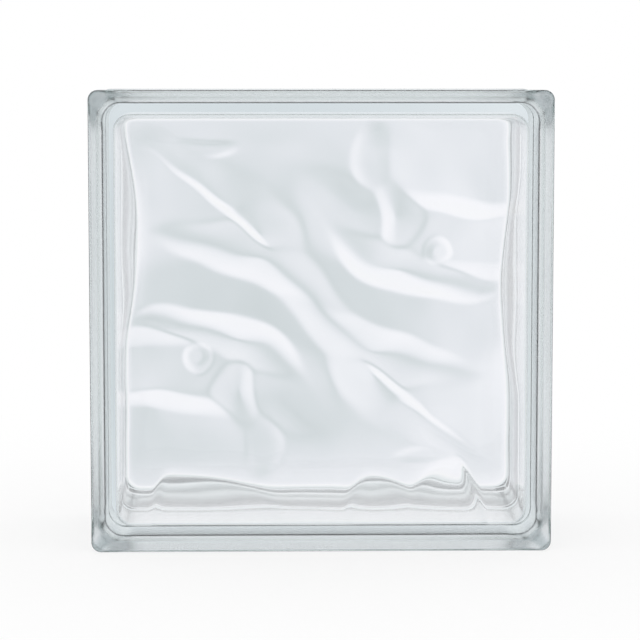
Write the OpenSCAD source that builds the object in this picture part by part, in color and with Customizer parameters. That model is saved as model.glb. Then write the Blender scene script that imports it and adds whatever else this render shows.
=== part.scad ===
// Hollow glass block for walls: two pressed halves, fused rim to rim into one sealed piece.
// It stands upright with its front face towards -Y and its lower rims on the floor plane.

/* [Block] */
// Side of the square faces, which is also the height
face_side = 190; // [150:1:300]
// Thickness of the block from face to face
block_depth = 95; // [70:1:120]
// Corner radius of the faces, seen from the front
face_corner_r = 4; // [3.5:0.5:12]

/* [Rim] */
// Depth of the full-size rim behind each face
rim_depth = 9; // [5:0.5:14]
// Rounding of the rim's edge where it meets the face
rim_edge_r = 1.5; // [0.5:0.1:3]
// Width of the narrow ledge along the rim's back edge
rim_ledge = 0.4; // [0.2:0.1:1.5]
// Depth over which the rim slopes down to the mortar channel
rim_slope_depth = 4.2; // [2:0.1:8]

/* [Mortar channel] */
// Depth of the channel in the sides, measured from the rims
channel_depth = 5.5; // [4:0.5:10]
// Radius between the rims' slopes and the channel floor
channel_foot_r = 8; // [2:0.5:10]
// Corner radius of the channel floor, seen from the front
channel_corner_r = 7; // [2:0.5:12]

/* [Cavity] */
// Thickness of a face's glass at its thinnest
face_wall = 7.5; // [5:0.5:12]
// Thickness of the side walls beside the faces
side_wall = 4.5; // [4:0.5:10]
// Draft of the side walls' inner faces, which lets the plunger out, in degrees
draft = 1; // [0:0.25:3]
// Radius between the side walls and the face's inner surface
cavity_fillet_r = 3; // [1:0.5:4.5]
// Radius of the cavity's four upright corners
cavity_corner_r = 6.5; // [5:0.5:15]

/* [Seam] */
// Height of the bead of squeezed glass along the fused seam, outside
bead_h = 0.8; // [0.3:0.1:1.5]
// Height of the softer bead along the seam inside
inner_bead_h = 0.2; // [0.1:0.1:1.5]
// Width of both beads
bead_w = 6; // [2:0.5:8]

/* [Waves] */
// Share of their listed height that the waves are pressed to
wave_scale = 1; // [0.2:0.1:1.5]
// Softness of the creases between two folds
crease = 0.2; // [0.1:0.05:1]

/* [Hidden] */
$fn = 64;

half_side = face_side / 2;
half_depth = block_depth / 2;
channel_half = half_side - channel_depth;

// The folds of the waves on the inside of a face, listed for a face of wave_face. Each rises to a
// ridge that falls off on its two sides, and runs into the next one with a soft crease. The back half's
// folds are pressed twice, half a turn apart; the front half's only run in from its edges.
wave_face = 190;
front_folds = [
    // centre, direction, half-length, width right and left of it, bend, widening, fullness, height
    [[0, -120], 0, 250, 62, 62, 0, 0, 2, 2.4],
    [[-63, -106], 90, 45, 75, 11, 0, 0, 4, 3.0],
    [[-10, -110], 90, 35, 60, 50, 0, 0, 3, 3.4],
    [[21, -106], 90, 44, 30, 18, 0, 0, 4, 3.0],
    [[68, -108], 104, 54, 9, 42, 0, 0, 4, 3.4],
    [[-108, 36], 0, 34, 60, 60, 0, 0, 4, 1.5],
    [[108, 14], 180, 34, 60, 60, 0, 0, 4, 1.5],
];
back_folds = [
    // centre, direction, half-length, width right and left of it, bend, widening, fullness, height
    [[-96, 46], 0, 58, 32, 32, 0, 0, 1.2, 2.6],
    [[-44, 49], -40, 48, 3, 16, -8, 0, 1.2, 3.5],
    [[-27, 31], -46, 26, 3, 16, 0, 0, 1.2, 4.5],
    [[-25, 20], -27, 66, 10, 14, -24, 0, 1.2, 3.4],
    [[-37, -13], -22, 50, 12, 9, -15, 0, 1.2, 3.6],
    [[-70, -48], -4, 46, 48, 10, 0, 0, 1.3, 2.8],
    [[-82, -21], 1, 56, 24, 11, 0, -0.3, 1.3, 2.6],
    [[-33, -38], -78, 22, 13, 9, 0, 0, 1.3, 2.4],
    [[-26, -63], 100, 18, 9, 9, 0, 0, 3, 0.9],
    [[-9, -49], 0, 7, 7, 7, 0, 0, 4, 0.3],
    [[49, -70], 0, 14, 4, 4, 0, 0, 5, 0.4],
    [[14, 44], -30, 24, 24, 14, 0, 0, 1.6, 1.6],
];
// Round dimples among the back folds: centre, radius and depth
dimples = [[[-53, -23], 5, 0.6]];
// Sway of the back folds' lines: amount, and the degrees that it turns per millimetre of x and of y
sway_x = [[1.8, 0, 7.2], [0.4, 13, 11]];
sway_y = [[1.8, 6, 0], [0.4, 12, -10]];
// Share of its width that a narrowing fold keeps
least_width = 0.15;

function total(values, i = 0) = i == len(values) ? 0 : values[i] + total(values, i + 1);

// Height of one fold at a point, which goes on falling below zero outside it
function fold_rise(p, f) = let(
    c = cos(f[1]),
    s = sin(f[1]),
    d = p - f[0],
    along = (d.x * c + d.y * s) / f[2],
    off = d.y * c - d.x * s - f[5] * along * along,
    across = off / ((off > 0 ? f[4] : f[3]) * max(1 + f[6] * along, least_width)))
    f[8] * (1 - pow(norm([along, across]), f[7]));

// Height of a half's folds at a point: the highest fold there, with soft creases between them
function fold_height(p, folds, turns) =
    crease * ln(1 + total([for (f = folds, turn = turns) exp(fold_rise(turn * p, f) / crease)]));

function sway(p, terms) = total([for (t = terms) t[0] * sin(t[1] * p.x + t[2] * p.y)]);
function dimple_depth(p) =
    total([for (d = dimples, turn = [1, -1]) d[2] * max(0, 1 - pow(norm(turn * p - d[0]) / d[1], 2))]);

// Depth of the two faces' inner surfaces at a point, from the seam
function front_inside(p) = let(q = p * wave_face / face_side)
    half_depth - face_wall - wave_scale * fold_height(q, front_folds, [1]);
function back_inside(p) = let(
    q = p * wave_face / face_side,
    swayed = q + [sway(q, sway_x), sway(q, sway_y)])
    -half_depth + face_wall + wave_scale * (fold_height(swayed, back_folds, [1, -1]) - dimple_depth(swayed));

// The cavity is netted over a square grid, whose lines crowd together at the rounded corners
net_steps = 34;
net_corner_steps = 2;
net_fillet_steps = 2;
net_corner_r = cavity_corner_r - cavity_fillet_r;
net_half = channel_half - side_wall - cavity_fillet_r;
net_flat = net_half - net_corner_r;
net_lines = concat(
    [for (i = [0 : net_corner_steps - 1]) -net_half + net_corner_r * i / net_corner_steps],
    [for (i = [0 : net_steps]) net_flat * (2 * i / net_steps - 1)],
    [for (i = [1 : net_corner_steps]) net_flat + net_corner_r * i / net_corner_steps]);
net_last = len(net_lines) - 1;

// How far a grid point lies past the straight part of the grid's sides
function net_past(p) = [max(abs(p.x) - net_flat, 0), max(abs(p.y) - net_flat, 0)];
// A grid point moved so that the grid gets round corners
function net_point(p) = let(q = net_past(p), far = norm(q))
    far == 0 ? p : [
        sign(p.x) * (min(abs(p.x), net_flat) + q.x * max(q) / far),
        sign(p.y) * (min(abs(p.y), net_flat) + q.y * max(q) / far)];
// The way out of the cavity at a point of the grid's edge
function net_outward(p) = let(q = net_past(p)) [sign(p.x) * q.x, sign(p.y) * q.y] / norm(q);

net_edge = concat(
    [for (i = [0 : net_last - 1]) [net_lines[i], net_lines[0]]],
    [for (i = [0 : net_last - 1]) [net_lines[net_last], net_lines[i]]],
    [for (i = [net_last : -1 : 1]) [net_lines[i], net_lines[net_last]]],
    [for (i = [net_last : -1 : 1]) [net_lines[0], net_lines[i]]]);

// Distance of a side wall's inner face from the grid's edge, at a depth from the seam
function wall_reach(z) = cavity_fillet_r + (half_depth - face_wall - abs(z)) * tan(draft);

// Down the cavity's side at one point of the grid's edge: distance out from the edge, and depth
function side_line(p) = let(
    front = front_inside(net_point(p)),
    back = back_inside(net_point(p)))
    concat(
        [for (i = [1 : net_fillet_steps]) let(a = 90 * i / net_fillet_steps, z = front - cavity_fillet_r)
            [wall_reach(z) * sin(a), z + cavity_fillet_r * cos(a)]],
        [for (i = [-2 : 2]) let(z = -i * bead_w / 4)
            [wall_reach(z) - inner_bead_h * (1 + cos(90 * i)) / 2, z]],
        [for (i = [net_fillet_steps : -1 : 1]) let(a = 90 * i / net_fillet_steps, z = back + cavity_fillet_r)
            [wall_reach(z) * sin(a), z - cavity_fillet_r * cos(a)]]);

// The sealed space inside: two waved faces and the fillets, drafted walls and seam bead between them
module cavity() {
    pane = [for (y = net_lines) [for (x = net_lines) net_point([x, y])]];
    front = [for (row = pane) each [for (p = row) [p.x, p.y, front_inside(p)]]];
    back = [for (row = pane) each [for (p = row) [p.x, p.y, back_inside(p)]]];
    sides = [for (p = net_edge) let(at = net_point(p), out = net_outward(p))
        each [for (s = side_line(p)) [at.x + out.x * s[0], at.y + out.y * s[0], s[1]]]];

    across = net_last + 1;
    pane_points = across * across;
    ring = len(net_edge);
    steps = len(side_line(net_edge[0]));
    // Number of a point of the grid's edge within its pane, counted round from the first corner
    function edge_number(k) = let(side = floor(k / net_last), i = k % net_last)
        side == 0 ? i :
        side == 1 ? i * across + net_last :
        side == 2 ? net_last * across + net_last - i :
        (net_last - i) * across;
    // Number of a point down the side: on the front pane, on the side itself, or on the back pane
    function side_number(k, j) = let(r = k % ring)
        j == 0 ? edge_number(r) :
        j > steps ? pane_points + edge_number(r) :
        2 * pane_points + r * steps + j - 1;

    front_faces = [for (i = [0 : net_last - 1], j = [0 : net_last - 1]) let(a = i * across + j)
        each [[a, a + across, a + 1], [a + 1, a + across, a + across + 1]]];
    back_faces = [for (f = front_faces) [f[0], f[2], f[1]] + [1, 1, 1] * pane_points];
    side_faces = [for (k = [0 : ring - 1], j = [0 : steps]) let(
        a = side_number(k, j), b = side_number(k + 1, j),
        c = side_number(k + 1, j + 1), d = side_number(k, j + 1))
        each [[a, b, c], [a, c, d]]];
    polyhedron(concat(front, back, sides), concat(front_faces, back_faces, side_faces), convexity = 6);
}

// Section of the sides between the rims, as half-width and depth from the seam: the front rim's slope,
// its rounded foot, the channel floor and the seam's bead, and the same again to the back rim
foot_steps = 4;
bead_steps = 4;
slope_run = channel_depth - rim_ledge;
slope_angle = atan2(slope_run, rim_slope_depth);
slope_length = norm([slope_run, rim_slope_depth]);
foot_r = min(channel_foot_r, 0.9 * slope_length / tan(slope_angle / 2));
foot_end = half_depth - rim_depth - rim_slope_depth - foot_r * tan(slope_angle / 2);
half_section = concat(
    [[half_side - rim_ledge, half_depth - rim_depth]],
    [for (i = [foot_steps : -1 : 0]) let(a = slope_angle * i / foot_steps)
        [channel_half + foot_r * (1 - cos(a)), foot_end + foot_r * sin(a)]],
    [for (i = [bead_steps : -1 : 1])
        [channel_half + bead_h * (1 + cos(180 * i / bead_steps)) / 2, bead_w / 2 * i / bead_steps]]);
section = concat(
    half_section,
    [[channel_half + bead_h, 0]],
    [for (i = [len(half_section) - 1 : -1 : 0]) [half_section[i].x, -half_section[i].y]]);

// Points round the block at one level of that section, whose corners go from the face's to the channel's
corner_steps = 6;
function side_ring(level) = let(
    r = channel_corner_r + (level.x - channel_half) * (face_corner_r - channel_corner_r) / channel_depth,
    centre = (level.x - r) * sqrt(2))
    [for (turn = [0 : 90 : 270], i = [0 : corner_steps]) let(a = turn + 90 * i / corner_steps)
        [centre * cos(turn + 45) + r * cos(a), centre * sin(turn + 45) + r * sin(a), level.y]];

// The body between the rims, with the mortar channel round it
module channel_body() {
    rings = [for (level = section) side_ring(level)];
    ring = len(rings[0]);
    last = len(rings) - 1;
    sides = [for (i = [0 : last - 1], k = [0 : ring - 1]) let(a = i * ring + k, b = i * ring + (k + 1) % ring)
        [a, b, b + ring, a + ring]];
    front = [for (k = [ring - 1 : -1 : 0]) k];
    back = [for (k = [0 : ring - 1]) last * ring + k];
    polyhedron([for (points = rings) each points], concat(sides, [front, back]), convexity = 4);
}

// Section of a rim outside its straight core, rounded at the face
module rim_section() {
    square([face_corner_r - rim_edge_r, rim_depth]);
    translate([0, rim_edge_r]) square([face_corner_r, rim_depth - rim_edge_r]);
    translate([face_corner_r - rim_edge_r, rim_edge_r]) circle(rim_edge_r);
}

// One full-size rim with its face, from the face inwards
module rim() {
    core = half_side - face_corner_r;
    translate([-core, -core, 0]) cube([2 * core, 2 * core, rim_depth]);
    for (turn = [0 : 90 : 270]) rotate(turn) {
        translate([core, core, 0]) rotate([90, 0, 0]) linear_extrude(2 * core) rim_section();
        translate([core, core, 0]) rotate_extrude(angle = 90) rim_section();
    }
}

module glass_block() {
    color([0.86, 0.92, 0.91, 0.4])
    translate([0, 0, half_side]) rotate([90, 0, 0]) difference() {
        union() {
            channel_body();
            for (back = [0, 1]) rotate([back * 180, 0, 0]) translate([0, 0, half_depth]) mirror([0, 0, 1]) rim();
        }
        cavity();
    }
}

glass_block();
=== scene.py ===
from math import cos, e, hypot, pi, radians, sin, tan

import bpy
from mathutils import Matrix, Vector


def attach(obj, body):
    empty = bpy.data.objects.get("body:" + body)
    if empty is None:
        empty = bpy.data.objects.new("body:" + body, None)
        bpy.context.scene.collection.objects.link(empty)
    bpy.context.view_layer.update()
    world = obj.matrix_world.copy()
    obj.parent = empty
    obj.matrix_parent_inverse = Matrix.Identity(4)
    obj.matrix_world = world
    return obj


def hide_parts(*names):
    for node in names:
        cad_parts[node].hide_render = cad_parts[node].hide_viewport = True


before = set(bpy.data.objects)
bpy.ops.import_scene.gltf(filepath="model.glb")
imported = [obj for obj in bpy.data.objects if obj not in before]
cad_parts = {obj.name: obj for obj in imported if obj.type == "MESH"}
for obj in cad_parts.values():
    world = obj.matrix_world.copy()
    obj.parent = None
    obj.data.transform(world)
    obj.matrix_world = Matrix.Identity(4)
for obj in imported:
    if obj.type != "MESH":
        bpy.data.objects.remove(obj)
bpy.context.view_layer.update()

# Glass block: one piece of clear soda-lime glass, made as two equal pressed halves that are fused
# rim to rim while hot. The faces are flat outside and waved inside, the rims stand round a mortar
# channel, and a bead of squeezed glass runs along the seam outside and in. Sizes are in millimetres.
FACE_SIDE, BLOCK_DEPTH = 190, 95
FACE_CORNER_R = 4
RIM_DEPTH, RIM_SLOPE_DEPTH = 9, 4.2
RIM_EDGE_R, RIM_BACK_R, CHANNEL_FOOT_R = 1.5, 1.5, 8
CHANNEL_DEPTH, CHANNEL_CORNER_R = 5.5, 7
FACE_WALL, SIDE_WALL, DRAFT = 7.5, 4.5, 1
CAVITY_FILLET_R, CAVITY_CORNER_R = 1.5, 6.5
BEAD_H, INNER_BEAD_H, BEAD_W = 0.8, 0.2, 6

HALF_SIDE, HALF_DEPTH = FACE_SIDE / 2, BLOCK_DEPTH / 2
CHANNEL_HALF = HALF_SIDE - CHANNEL_DEPTH

# Folds of the pressed waves on the front half and on the back one: centre, direction in degrees,
# half-length, width on the right of the direction and on its left, sideways bend of the ends, widening
# along the fold, fullness of its sides, and height. The back ones are pressed twice, half a turn apart.
FRONT_FOLDS = [
    ((0, -120), 0, 250, 62, 62, 0, 0, 2, 2.4),
    ((-63, -106), 90, 45, 75, 11, 0, 0, 4, 3.0),
    ((-10, -110), 90, 35, 60, 50, 0, 0, 3, 3.4),
    ((21, -106), 90, 44, 30, 18, 0, 0, 4, 3.0),
    ((68, -108), 104, 54, 9, 42, 0, 0, 4, 3.4),
    ((-108, 36), 0, 34, 60, 60, 0, 0, 4, 1.5),
    ((108, 14), 180, 34, 60, 60, 0, 0, 4, 1.5),
]
BACK_FOLDS = [
    ((-96, 46), 0, 58, 32, 32, 0, 0, 1.2, 2.6),
    ((-44, 49), -40, 48, 5, 16, -8, 0.3, 1.2, 2.2),
    ((-27, 31), -46, 28, 5, 16, 0, 0, 1.2, 3.4),
    ((-25, 20), -27, 66, 10, 14, -24, 0, 1.2, 3.2),
    ((-37, -14), -22, 50, 12, 9, -15, 0, 1.2, 3.4),
    ((-70, -48), -4, 46, 48, 10, 0, 0, 1.3, 2.8),
    ((-82, -21), 1, 56, 24, 11, 0, -0.3, 1.3, 2.6),
    ((-33, -38), -78, 22, 13, 9, 0, 0, 1.3, 2.4),
    ((-26, -63), 100, 18, 9, 9, 0, 0, 3, 0.9),
    ((-9, -49), 0, 7, 7, 7, 0, 0, 4, 0.3),
    ((49, -70), 0, 14, 4, 4, 0, 0, 5, 0.4),
    ((14, 44), -30, 24, 24, 14, 0, 0, 1.6, 1.6),
]
# A round dimple between the back folds (centre, radius, depth) and the flat middle that fills it a little,
# the sway of all lines (amount, and degrees per mm of x and y), and the wrinkles left by the chilled mould
DIMPLES = [((-53, -23), 6.5, 1.0), ((-54.2, -22.6), 3.2, -0.24)]
SWAY_X = [(1.8, 0, 7.2), (0.4, 13, 11)]
SWAY_Y = [(1.8, 6, 0), (0.4, 12, -10)]
FOLD_SCALE, CREASE, LEAST_WIDTH = 1.0, 0.2, 0.15
WRINKLE, WRINKLE_SCALE, WRINKLE_MARGIN = 0.6, 32, 12


def bead(height, depth):
    """How far a bead of a height stands out at a depth from the seam."""
    return height * (1 + cos(2 * pi * depth / BEAD_W)) / 2 if abs(depth) < BEAD_W / 2 else 0


def rounded_line(corners, arc_steps):
    """Points along a line of (x, y, radius) corners, each rounded by its radius."""
    line = [Vector(corners[0][:2])]
    for before, (x, y, r), after in zip(corners, corners[1:], corners[2:]):
        at = Vector((x, y))
        back, on = (Vector(before[:2]) - at).normalized(), (Vector(after[:2]) - at).normalized()
        half_angle = back.angle(on) / 2
        centre = at + (back + on).normalized() * (r / sin(half_angle))
        start = at + back * (r / tan(half_angle)) - centre
        end = at + on * (r / tan(half_angle)) - centre
        start, end = start.normalized(), end.normalized()
        line += [centre + r * start.slerp(end, i / arc_steps) for i in range(arc_steps + 1)]
    return line + [Vector(corners[-1][:2])]


# The outer skin: levels of the outline from the front face, over the rim and down to the seam, and
# the same again to the back face
OUTER_SIDE_STEPS, OUTER_ARC_STEPS, SECTION_ARC_STEPS, BEAD_STEPS = 12, 8, 8, 8
FACE_MARGIN, BEAD_MARGIN = 0.4, 1


def outer_ring(half, depth):
    """One level of the outer skin, counted round the block, with the corner radius for its size."""
    over_channel = half - CHANNEL_HALF
    corner = CHANNEL_CORNER_R + over_channel * (FACE_CORNER_R - CHANNEL_CORNER_R) / CHANNEL_DEPTH
    flat = half - corner
    side = [(half, flat * (2 * i / OUTER_SIDE_STEPS - 1)) for i in range(OUTER_SIDE_STEPS)]
    arc = [pi / 2 * i / OUTER_ARC_STEPS for i in range(OUTER_ARC_STEPS)]
    side += [(flat + corner * cos(a), flat + corner * sin(a)) for a in arc]
    return [(x * c - y * s, x * s + y * c, depth)
            for c, s in ((1, 0), (0, 1), (-1, 0), (0, -1)) for x, y in side]


section = rounded_line([
    (HALF_SIDE - RIM_EDGE_R - FACE_MARGIN, HALF_DEPTH, 0),
    (HALF_SIDE, HALF_DEPTH, RIM_EDGE_R),
    (HALF_SIDE, HALF_DEPTH - RIM_DEPTH, RIM_BACK_R),
    (CHANNEL_HALF, HALF_DEPTH - RIM_DEPTH - RIM_SLOPE_DEPTH, CHANNEL_FOOT_R),
    (CHANNEL_HALF, BEAD_W / 2 + BEAD_MARGIN, 0)], SECTION_ARC_STEPS)
bead_depths = [BEAD_W / 2 * i / BEAD_STEPS for i in range(BEAD_STEPS, -1, -1)]
section += [Vector((CHANNEL_HALF + bead(BEAD_H, depth), depth)) for depth in bead_depths]
section += [Vector((half, -depth)) for half, depth in reversed(section[:-1])]

verts, faces = [], []
levels = [outer_ring(half, depth) for half, depth in section]
ring_size = len(levels[0])
for level in levels:
    verts += level
for i in range(len(levels) - 1):
    for k in range(ring_size):
        a, b = i * ring_size + k, i * ring_size + (k + 1) % ring_size
        faces.append((a, a + ring_size, b + ring_size, b))
faces.append(tuple(range(ring_size)))
faces.append(tuple(len(verts) - 1 - k for k in range(ring_size)))

# What each point's glass is like: how far the waves press it, how rough its skin is for the mortar to key
# on, how near it is to a corner of the block (the mask for the painted shade there), and how deep the
# wrinkles are
pressed = [0.0] * len(verts)
key_coat = [min(1.0, (HALF_DEPTH - abs(depth)) / RIM_EDGE_R) for _, _, depth in verts]
corner_shade_mask = [min(abs(x), abs(y)) / max(abs(x), abs(y)) for x, y, _ in verts]
wrinkled = [0.0] * len(verts)

# The cavity skin: a net over each face's inside, and between them the fillets, the drafted walls and
# the bead. The waves press the front face's side by up to 1 and the back face's by up to -1.
NET_STEPS, NET_CORNER_STEPS, FILLET_STEPS, WALL_STEPS = 176, 3, 5, 4
NET_CORNER_R = CAVITY_CORNER_R - CAVITY_FILLET_R
NET_HALF = CHANNEL_HALF - SIDE_WALL - CAVITY_FILLET_R
NET_FLAT = NET_HALF - NET_CORNER_R
PANE_DEPTH = HALF_DEPTH - FACE_WALL

net_lines = [-NET_HALF + NET_CORNER_R * i / NET_CORNER_STEPS for i in range(NET_CORNER_STEPS)]
net_lines += [NET_FLAT * (2 * i / NET_STEPS - 1) for i in range(NET_STEPS + 1)]
net_lines += [NET_FLAT + NET_CORNER_R * (i + 1) / NET_CORNER_STEPS for i in range(NET_CORNER_STEPS)]
last = len(net_lines) - 1


def net_point(x, y):
    """A net crossing with the net's corners rounded, and the way out of the cavity there."""
    past_x, past_y = max(abs(x) - NET_FLAT, 0), max(abs(y) - NET_FLAT, 0)
    far = hypot(past_x, past_y)
    if far == 0:
        return (x, y), (0, 0)
    out = (past_x / far * (1 if x > 0 else -1), past_y / far * (1 if y > 0 else -1))
    reach = max(past_x, past_y)
    return (max(-NET_FLAT, min(NET_FLAT, x)) + out[0] * reach,
            max(-NET_FLAT, min(NET_FLAT, y)) + out[1] * reach), out


def wall_reach(depth):
    """Distance of a side wall's inner face from the net's edge at a depth from the seam."""
    return CAVITY_FILLET_R + (PANE_DEPTH - abs(depth)) * tan(radians(DRAFT))


pane_start = {}
for sign in (1, -1):
    pane_start[sign] = len(verts)
    for y in net_lines:
        for x in net_lines:
            (px, py), _ = net_point(x, y)
            verts.append((px, py, sign * PANE_DEPTH))
            pressed.append(sign)
            wrinkled.append(min(1.0, (NET_HALF - max(abs(px), abs(py))) / WRINKLE_MARGIN))
    for i in range(last):
        for j in range(last):
            a = pane_start[sign] + i * (last + 1) + j
            quad = (a, a + last + 1, a + last + 2, a + 1)
            faces.append(quad if sign > 0 else quad[::-1])

foot = PANE_DEPTH - CAVITY_FILLET_R
half_line = []
for i in range(1, FILLET_STEPS + 1):
    a = pi / 2 * i / FILLET_STEPS
    half_line.append((wall_reach(foot) * sin(a), foot + CAVITY_FILLET_R * cos(a), 1.0))
for i in range(1, WALL_STEPS):
    depth = foot + (BEAD_W / 2 - foot) * i / WALL_STEPS
    half_line.append((wall_reach(depth), depth, 1 - i / WALL_STEPS))
for depth in bead_depths[:-1]:
    half_line.append((wall_reach(depth) - bead(INNER_BEAD_H, depth), depth, 0.0))
side_line = half_line + [(wall_reach(0) - bead(INNER_BEAD_H, 0), 0, 0.0)]
side_line += [(reach, -depth, -share) for reach, depth, share in reversed(half_line)]

edge = [(0, i) for i in range(last)] + [(i, last) for i in range(last)]
edge += [(last, last - i) for i in range(last)] + [(last - i, 0) for i in range(last)]
columns = []
for row, col in edge:
    (px, py), (ox, oy) = net_point(net_lines[col], net_lines[row])
    column = [pane_start[1] + row * (last + 1) + col]
    for reach, depth, share in side_line:
        column.append(len(verts))
        verts.append((px + ox * reach, py + oy * reach, depth))
        pressed.append(share)
    columns.append(column + [pane_start[-1] + row * (last + 1) + col])
for left, right in zip(columns, columns[1:] + columns[:1]):
    for k in range(len(left) - 1):
        faces.append((left[k], right[k], right[k + 1], left[k + 1]))

MM = 0.001
mesh = bpy.data.meshes.new("glass_block")
mesh.from_pydata([(x * MM, -z * MM, (y + HALF_SIDE) * MM) for x, y, z in verts], [], faces)
point_values = {"pressed": pressed, "key_coat": key_coat, "corner_shade_mask": corner_shade_mask, "wrinkled": wrinkled}
for name, values in point_values.items():
    values += [0.0] * (len(verts) - len(values))
    mesh.attributes.new(name, "FLOAT", "POINT").data.foreach_set("value", values)
mesh.shade_smooth()


class Wire:
    """One output of a node tree. Sums written with it add Math nodes to its tree."""

    def __init__(self, socket):
        self.socket, self.tree = socket, socket.id_data

    def node(self, kind, settings=None, inputs=None, output=0):
        """Add a node, set its settings or a ramp's stops, then fill its sockets with values or wires."""
        made = self.tree.nodes.new(kind)
        settings = dict(settings or {})
        stops = settings.pop("stops", [])
        while stops and len(made.color_ramp.elements) < len(stops):
            made.color_ramp.elements.new(1.0)
        for i, (position, color) in enumerate(stops):
            made.color_ramp.elements[i].position = position
            made.color_ramp.elements[i].color = color
        for name, value in settings.items():
            setattr(made, name, value)
        for name, value in (inputs or {}).items():
            if isinstance(value, Wire):
                self.tree.links.new(value.socket, made.inputs[name])
            else:
                made.inputs[name].default_value = value
        return Wire(made.outputs[output])

    def math(self, operation, *others):
        """Add a Math node that takes this wire first."""
        return self.node("ShaderNodeMath", {"operation": operation}, dict(enumerate((self, *others))))

    def __add__(self, other): return self.math("ADD", other)
    def __radd__(self, other): return self.math("ADD", other)
    def __sub__(self, other): return self.math("SUBTRACT", other)
    def __mul__(self, other): return self.math("MULTIPLY", other)
    def __rmul__(self, other): return self.math("MULTIPLY", other)
    def __truediv__(self, other): return self.math("DIVIDE", other)

    def __rsub__(self, other):
        return self.node("ShaderNodeMath", {"operation": "SUBTRACT"}, {0: other, 1: self})


# The press: moves the insides of the two faces by their folds, which run into each other with a soft
# crease between them
press = bpy.data.node_groups.new("wave_press", "GeometryNodeTree")
press.interface.new_socket("Geometry", in_out="INPUT", socket_type="NodeSocketGeometry")
press_inputs = {}
for name, value in (("Fold scale", FOLD_SCALE), ("Crease", CREASE), ("Half side", HALF_SIDE)):
    item = press.interface.new_socket(name, in_out="INPUT", socket_type="NodeSocketFloat")
    press_inputs[item.identifier] = float(value)
item = press.interface.new_socket("Glass", in_out="INPUT", socket_type="NodeSocketMaterial")
glass_input = item.identifier
press.interface.new_socket("Geometry", in_out="OUTPUT", socket_type="NodeSocketGeometry")

start = press.nodes.new("NodeGroupInput")
shape, scale, crease, half_side, glass_in = (Wire(start.outputs[i]) for i in range(5))
at = shape.node("GeometryNodeInputPosition")
x = shape.node("ShaderNodeSeparateXYZ", inputs={0: at}, output=0) / MM
y = shape.node("ShaderNodeSeparateXYZ", inputs={0: at}, output=2) / MM - half_side
pressed_by = shape.node("GeometryNodeInputNamedAttribute", {"data_type": "FLOAT"}, {"Name": "pressed"})
is_back = pressed_by.math("LESS_THAN", 0.0)


def pressed_height(folds, x, y, turns):
    """Height of a half's folds over its flat inside, where the highest fold at each point wins."""
    rises = 1.0
    for (cx, cy), direction, length, right, left, bend, widening, fullness, height in folds:
        c, s = cos(radians(direction)), sin(radians(direction))
        for turn in turns:
            dx, dy = turn * x - cx, turn * y - cy
            along = (dx * c + dy * s) / length
            across = dy * c - dx * s - bend * (along * along)
            on_left = across.math("GREATER_THAN", 0.0)
            taper = (1 + widening * along).math("MAXIMUM", LEAST_WIDTH)
            across = across / ((right + (left - right) * on_left) * taper)
            spread = (along * along + across * across).math("POWER", fullness / 2)
            rises = rises + ((height - height * spread) / crease).math("EXPONENT")
    return scale * crease * rises.math("LOGARITHM", e)


def sway(terms, x, y):
    """Sideways shift of the lines of the waves, as a sum of sines across the face."""
    return sum(amount * (x * radians(by_x) + y * radians(by_y)).math("SINE") for amount, by_x, by_y in terms)


front = pressed_height(FRONT_FOLDS, x, y, (1,))
swayed_x, swayed_y = x + sway(SWAY_X, x, y), y + sway(SWAY_Y, x, y)
back = pressed_height(BACK_FOLDS, swayed_x, swayed_y, (1, -1))
for (cx, cy), radius, depth in DIMPLES:
    for turn in (1, -1):
        dx, dy = (turn * swayed_x - cx) / radius, (turn * swayed_y - cy) / radius
        bowl = 1 - dx * dx - dy * dy
        back = back - scale * depth * bowl.math("MAXIMUM", 0.0)
wrinkled_by = shape.node("GeometryNodeInputNamedAttribute", {"data_type": "FLOAT"}, {"Name": "wrinkled"})
wrinkle = shape.node("ShaderNodeTexNoise", inputs={"Vector": at, "Scale": WRINKLE_SCALE, "Detail": 1.0})
waves = front + is_back * (back - front) + WRINKLE * wrinkled_by * (wrinkle - 0.5)
push = shape.node("ShaderNodeCombineXYZ", inputs={1: waves * pressed_by * MM})
moved = shape.node("GeometryNodeSetPosition", inputs={"Geometry": shape, "Offset": push})
whole = shape.node("GeometryNodeRealizeInstances", inputs={"Geometry": moved})
dressed = shape.node("GeometryNodeSetMaterial", inputs={"Geometry": whole, "Material": glass_in})
end = press.nodes.new("NodeGroupOutput")
press.links.new(dressed.socket, end.inputs[0])

# Clear pressed glass with a faint blue-green cast that deepens with the thickness of the glass. The skin of
# the sides is a little rough, so that mortar keys on it, and its colour is darkened round the block's
# corners:
# that is painted shade, standing in for the dark the glass shows there.
CLEAR, KEYED, PAINTED_CORNER_SHADE = (1, 1, 1, 1), (0.97, 0.99, 0.99, 1), (0.55, 0.6, 0.61, 1)
KEYED_ROUGHNESS = 0.24

glass = bpy.data.materials.new("clear_glass")
glass.use_nodes = True
glass.node_tree.nodes.clear()
output = glass.node_tree.nodes.new("ShaderNodeOutputMaterial")
place = Wire(glass.node_tree.nodes.new("ShaderNodeTexCoord").outputs["Object"])
ripple = place.node("ShaderNodeTexNoise", inputs={"Vector": place, "Scale": 45.0, "Detail": 2.0})
polish = place.node("ShaderNodeBump", inputs={
    "Height": ripple, "Strength": 0.2, "Distance": 0.0001}, output="Normal")
keyed = place.node("ShaderNodeAttribute", {"attribute_name": "key_coat"}, output="Fac")
coat_tint_and_corner_shade = place.node("ShaderNodeMix", {"data_type": "RGBA"}, {0: keyed, 6: CLEAR, 7: KEYED}, 2)
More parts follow.
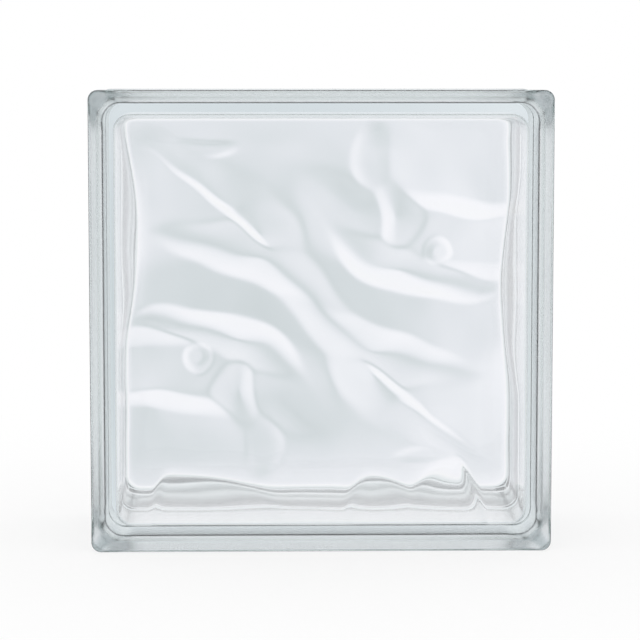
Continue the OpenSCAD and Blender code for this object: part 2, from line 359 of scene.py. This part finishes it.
# Painted shade: the rough skin's colour darkens towards the block's corners
corner = place.node("ShaderNodeAttribute", {"attribute_name": "corner_shade_mask"}, output="Fac")
corner = place.node("ShaderNodeMapRange", inputs={"Value": corner, "From Min": 0.8, "From Max": 0.98})
coat_tint_and_corner_shade = place.node("ShaderNodeMix", {"data_type": "RGBA"}, {0: keyed * corner, 6: coat_tint_and_corner_shade, 7: PAINTED_CORNER_SHADE}, 2)
surface = place.node("ShaderNodeBsdfPrincipled", inputs={
    "Base Color": coat_tint_and_corner_shade, "Roughness": keyed * KEYED_ROUGHNESS, "IOR": 1.52,
    "Transmission Weight": 1.0, "Normal": polish})
tint = place.node("ShaderNodeVolumeAbsorption", inputs={
    "Color": (0.81, 0.88, 0.875, 1), "Density": 10.0})
glass.node_tree.links.new(surface.socket, output.inputs["Surface"])
glass.node_tree.links.new(tint.socket, output.inputs["Volume"])

blank = bpy.data.objects.new("glass_block_blank", mesh)
bpy.context.scene.collection.objects.link(blank)
modifier = blank.modifiers.new("wave_press", "NODES")
modifier.node_group = press
for identifier, value in press_inputs.items():
    modifier[identifier] = value
modifier[glass_input] = glass
depsgraph = bpy.context.evaluated_depsgraph_get()
block_mesh = bpy.data.meshes.new_from_object(blank.evaluated_get(depsgraph), depsgraph=depsgraph)
bpy.data.objects.remove(blank)
block = bpy.data.objects.new("hollow_block", block_mesh)
bpy.context.scene.collection.objects.link(block)
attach(block, "root")
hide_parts("glass_block")

# Floor: a pale board that the block stands on, far larger than the view. It is white far off and keeps
# the block's soft shadow close by.
floor_mesh = bpy.data.meshes.new("floor")
FLOOR = 6.0
floor_corners = [(-FLOOR, -FLOOR, 0), (FLOOR, -FLOOR, 0), (FLOOR, FLOOR, 0), (-FLOOR, FLOOR, 0)]
floor_mesh.from_pydata(floor_corners, [], [(0, 1, 2, 3)])
floor = bpy.data.objects.new("floor", floor_mesh)
bpy.context.scene.collection.objects.link(floor)

paper = bpy.data.materials.new("white_paper")
paper.use_nodes = True
paper.node_tree.nodes.clear()
output = paper.node_tree.nodes.new("ShaderNodeOutputMaterial")
path = paper.node_tree.nodes.new("ShaderNodeLightPath")
by_camera = Wire(path.outputs["Is Camera Ray"])
floor_place = Wire(paper.node_tree.nodes.new("ShaderNodeTexCoord").outputs["Object"])
far = floor_place.node("ShaderNodeVectorMath", {"operation": "LENGTH"}, {0: floor_place}, "Value")
whitening = far.node("ShaderNodeMapRange", {"interpolation_type": "SMOOTHSTEP"},
                     {"Value": far, "From Min": 0.1, "From Max": 0.4, "To Min": 0.78, "To Max": 1.0})
matte = far.node("ShaderNodeBsdfDiffuse", inputs={"Color": (0.95, 0.95, 0.95, 1)})
white = far.node("ShaderNodeEmission", inputs={"Color": (1, 1, 1, 1), "Strength": 1.0})
board = far.node("ShaderNodeMixShader", inputs={0: by_camera * whitening, 1: matte, 2: white})
paper.node_tree.links.new(board.socket, output.inputs["Surface"])
floor_mesh.materials.append(paper)
floor.visible_glossy = floor.visible_transmission = False

# Studio light: an even white surround. The glass sees it as a softly lit room: dimmer straight through
# the block, brightest in a ring round that, and darker off to the sides. Levels go by degrees off the axis.
ROOM_TILT = radians(5.5)
ROOM_LEVELS = [
    (0, (0.64, 0.685, 0.705)), (2.4, (0.69, 0.73, 0.755)), (4.8, (0.79, 0.81, 0.85)),
    (7.2, (0.88, 0.89, 0.93)), (10.5, (0.96, 0.955, 0.995)), (16, (0.99, 0.985, 1.0)),
    (23, (0.91, 0.92, 0.945)), (33, (0.80, 0.83, 0.85)), (60, (0.77, 0.81, 0.825)), (90, (0.75, 0.79, 0.80)),
]

world = bpy.data.worlds.new("studio")
bpy.context.scene.world = world
world.use_nodes = True
world.node_tree.nodes.clear()
output = world.node_tree.nodes.new("ShaderNodeOutputWorld")
path = world.node_tree.nodes.new("ShaderNodeLightPath")
by_glass = Wire(path.outputs["Is Glossy Ray"])
by_glass = by_glass.math("MAXIMUM", Wire(path.outputs["Is Transmission Ray"]))
way = Wire(world.node_tree.nodes.new("ShaderNodeTexCoord").outputs["Generated"])
way = way.node("ShaderNodeVectorMath", {"operation": "NORMALIZE"}, {0: way})
through = way.node("ShaderNodeSeparateXYZ", inputs={0: way}, output=1)
rise = way.node("ShaderNodeSeparateXYZ", inputs={0: way}, output=2)
facing = through.math("ABSOLUTE") * cos(ROOM_TILT) - rise * sin(ROOM_TILT)
off_axis = facing.math("ARCCOSINE") / (pi / 2)
room_stops = [(degrees / 90, (*level, 1)) for degrees, level in ROOM_LEVELS]
room_level = off_axis.node("ShaderNodeValToRGB", {"stops": room_stops}, {0: off_axis})
even = way.node("ShaderNodeBackground", inputs={"Color": (1, 1, 1, 1), "Strength": 1.0})
room = way.node("ShaderNodeBackground", inputs={"Color": room_level, "Strength": 1.0})
sky = way.node("ShaderNodeMixShader", inputs={0: by_glass, 1: even, 2: room})
world.node_tree.links.new(sky.socket, output.inputs["Surface"])

# Camera: a long lens a little left of the block and a little above it
VIEW_DISTANCE, VIEW_LEFT, VIEW_UP = 1.02, radians(1.3), radians(5.6)
AIM_LEFT, AIM_RISE = 0.7, 1.25

camera_data = bpy.data.cameras.new("camera")
camera = bpy.data.objects.new("camera", camera_data)
bpy.context.scene.collection.objects.link(camera)
aim = Vector((-AIM_LEFT, -HALF_DEPTH, HALF_SIDE + AIM_RISE)) * MM
from_aim = Vector((-sin(VIEW_LEFT) * cos(VIEW_UP), -cos(VIEW_LEFT) * cos(VIEW_UP), sin(VIEW_UP)))
camera.location = aim + VIEW_DISTANCE * from_aim
camera.rotation_euler = (aim - camera.location).to_track_quat("-Z", "Y").to_euler()
camera_data.sensor_width = 36
camera_data.lens = 140.2
bpy.context.scene.camera = camera
bpy.context.scene.view_settings.view_transform = "Standard"
